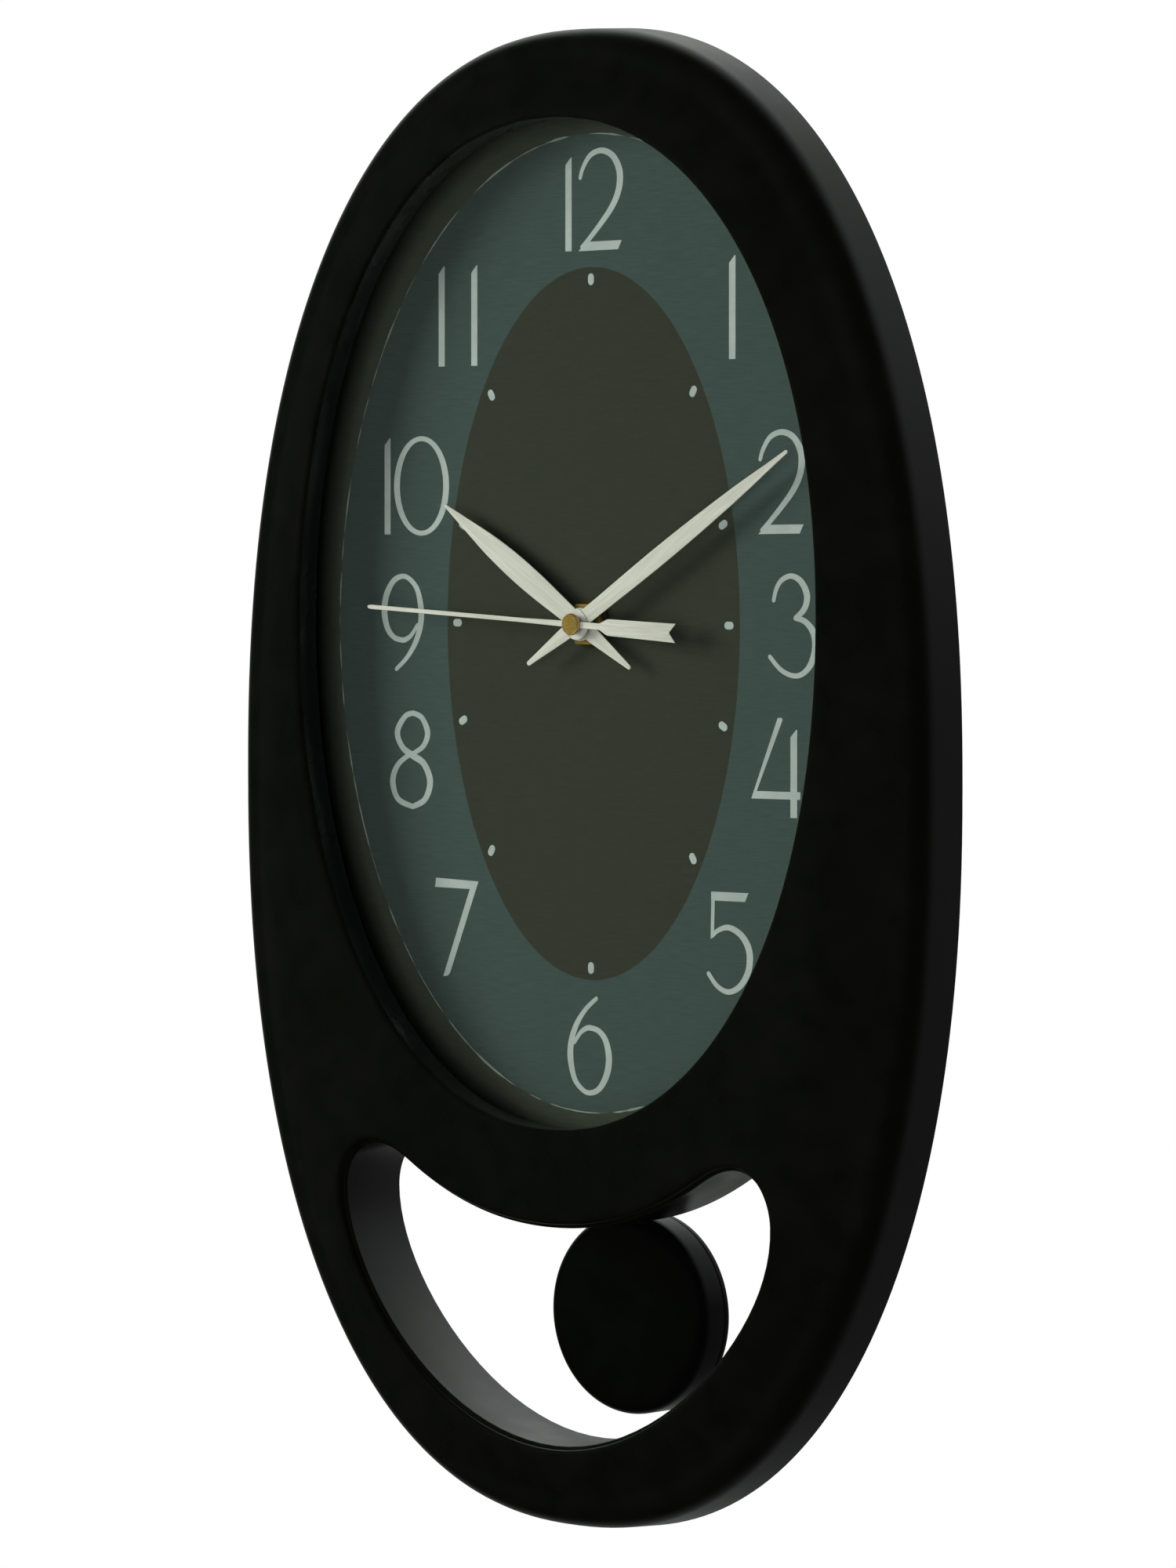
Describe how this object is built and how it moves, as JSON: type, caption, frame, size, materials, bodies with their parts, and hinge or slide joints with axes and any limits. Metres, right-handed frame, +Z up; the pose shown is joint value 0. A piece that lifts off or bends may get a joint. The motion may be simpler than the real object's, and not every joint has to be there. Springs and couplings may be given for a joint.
{
  "type": "pendulum wall clock",
  "caption": "Oval wall clock in a black moulded case: oval dial behind glass, three hands, and a round pendulum bob behind a crescent window.",
  "frame": {"origin": "the point of the hanger plate's keyhole where the nail's shank rests, in the wall's plane", "axes": "+Z up, -Y towards the viewer (the dial faces -Y), +X to the viewer's right"},
  "size_m": [0.2674, 0.0525, 0.4444],
  "materials": {
    "black_plastic": "injection-moulded ABS, satin black",
    "glass": "clear flat glass",
    "dial_print": "screen-printed satin sheet in grey-green and brown-grey",
    "dark_plastic": "moulded ABS, matt",
    "white_plastic": "natural acetal",
    "brushed_hand": "stamped and brushed",
    "brass": "turned and lacquered",
    "steel": "zinc plated",
    "copper": "enamelled copper winding",
    "board": "solder-masked fibre board",
    "magnet": "bonded ferrite",
    "battery_wrap": "printed shrink wrap"
  },
  "bodies": {
    "case": {"front_frame": "black_plastic", "rear_housing": "black_plastic", "dial_glass": "glass", "dial_spacer": "dark_plastic", "dial": "dial_print", "dial_plate": "dark_plastic", "housing_screw_1": "steel", "housing_screw_2": "steel", "housing_screw_3": "steel", "housing_screw_4": "steel", "housing_screw_5": "steel", "housing_screw_6": "steel", "hanger_plate": "steel", "hanger_rivet_1": "steel", "hanger_rivet_2": "steel", "movement_case": "dark_plastic", "movement_cover": "dark_plastic", "fixing_nut": "brass", "fixing_washer": "brass", "stator": "steel", "drive_coil": "copper", "circuit_board": "board", "quartz_can": "steel", "control_chip": "dark_plastic", "battery": "battery_wrap", "battery_contact_positive": "steel", "battery_contact_negative": "steel", "pendulum_coil": "copper", "pendulum_pivot": "steel", "pivot_clip": "steel"},
    "seconds": {"second_wheel": "brass", "second_hand": "brushed_hand", "second_collar": "steel", "second_cap": "brass"},
    "minutes": {"centre_wheel": "white_plastic", "minute_hand": "brushed_hand", "minute_collar": "steel"},
    "hours": {"hour_wheel": "white_plastic", "hour_hand": "brushed_hand", "hour_collar": "steel"},
    "setting": {"motion_wheel": "brass", "setting_knob": "white_plastic"},
    "third": {"third_wheel": "brass"},
    "fifth": {"fifth_wheel": "brass"},
    "rotor": {"rotor_arbor": "steel", "rotor_magnet": "magnet"},
    "pendulum": {"pendulum_lever": "white_plastic", "lever_magnet": "magnet", "pendulum_rod": "steel", "bob_front": "black_plastic", "bob_back": "black_plastic", "bob_screw": "steel"}
  },
  "joints": [
    {"name": "seconds_turn", "type": "hinge", "parent": "case", "child": "seconds", "pos_m": [0, -0.0315, -0.118], "axis": [0, 1, 0], "continuous": true},
    {"name": "minutes_turn", "type": "hinge", "parent": "case", "child": "minutes", "pos_m": [0, -0.0315, -0.118], "axis": [0, 1, 0], "continuous": true},
    {"name": "hours_turn", "type": "hinge", "parent": "case", "child": "hours", "pos_m": [0, -0.0315, -0.118], "axis": [0, 1, 0], "continuous": true},
    {"name": "setting_turn", "type": "hinge", "parent": "case", "child": "setting", "pos_m": [0.0095, -0.0315, -0.1234], "axis": [0, 1, 0], "continuous": true},
    {"name": "third_turn", "type": "hinge", "parent": "case", "child": "third", "pos_m": [-0.0103, -0.0315, -0.12], "axis": [0, 1, 0], "continuous": true},
    {"name": "fifth_turn", "type": "hinge", "parent": "case", "child": "fifth", "pos_m": [0.0065, -0.0315, -0.1115], "axis": [0, 1, 0], "continuous": true},
    {"name": "rotor_turn", "type": "hinge", "parent": "case", "child": "rotor", "pos_m": [0.0123, -0.0315, -0.109], "axis": [0, 1, 0], "continuous": true},
    {"name": "pendulum_swing", "type": "hinge", "parent": "case", "child": "pendulum", "pos_m": [0, -0.0099, -0.156], "axis": [0, 1, 0], "range_deg": [-7, 7]}
  ],
  "couplings": [
    {"joint": "hours_turn", "follows": "minutes_turn", "ratio": 0.083333},
    {"joint": "setting_turn", "follows": "minutes_turn", "ratio": -0.33333},
    {"joint": "third_turn", "follows": "seconds_turn", "ratio": -0.13333},
    {"joint": "fifth_turn", "follows": "seconds_turn", "ratio": -6},
    {"joint": "rotor_turn", "follows": "seconds_turn", "ratio": 30}
  ]
}
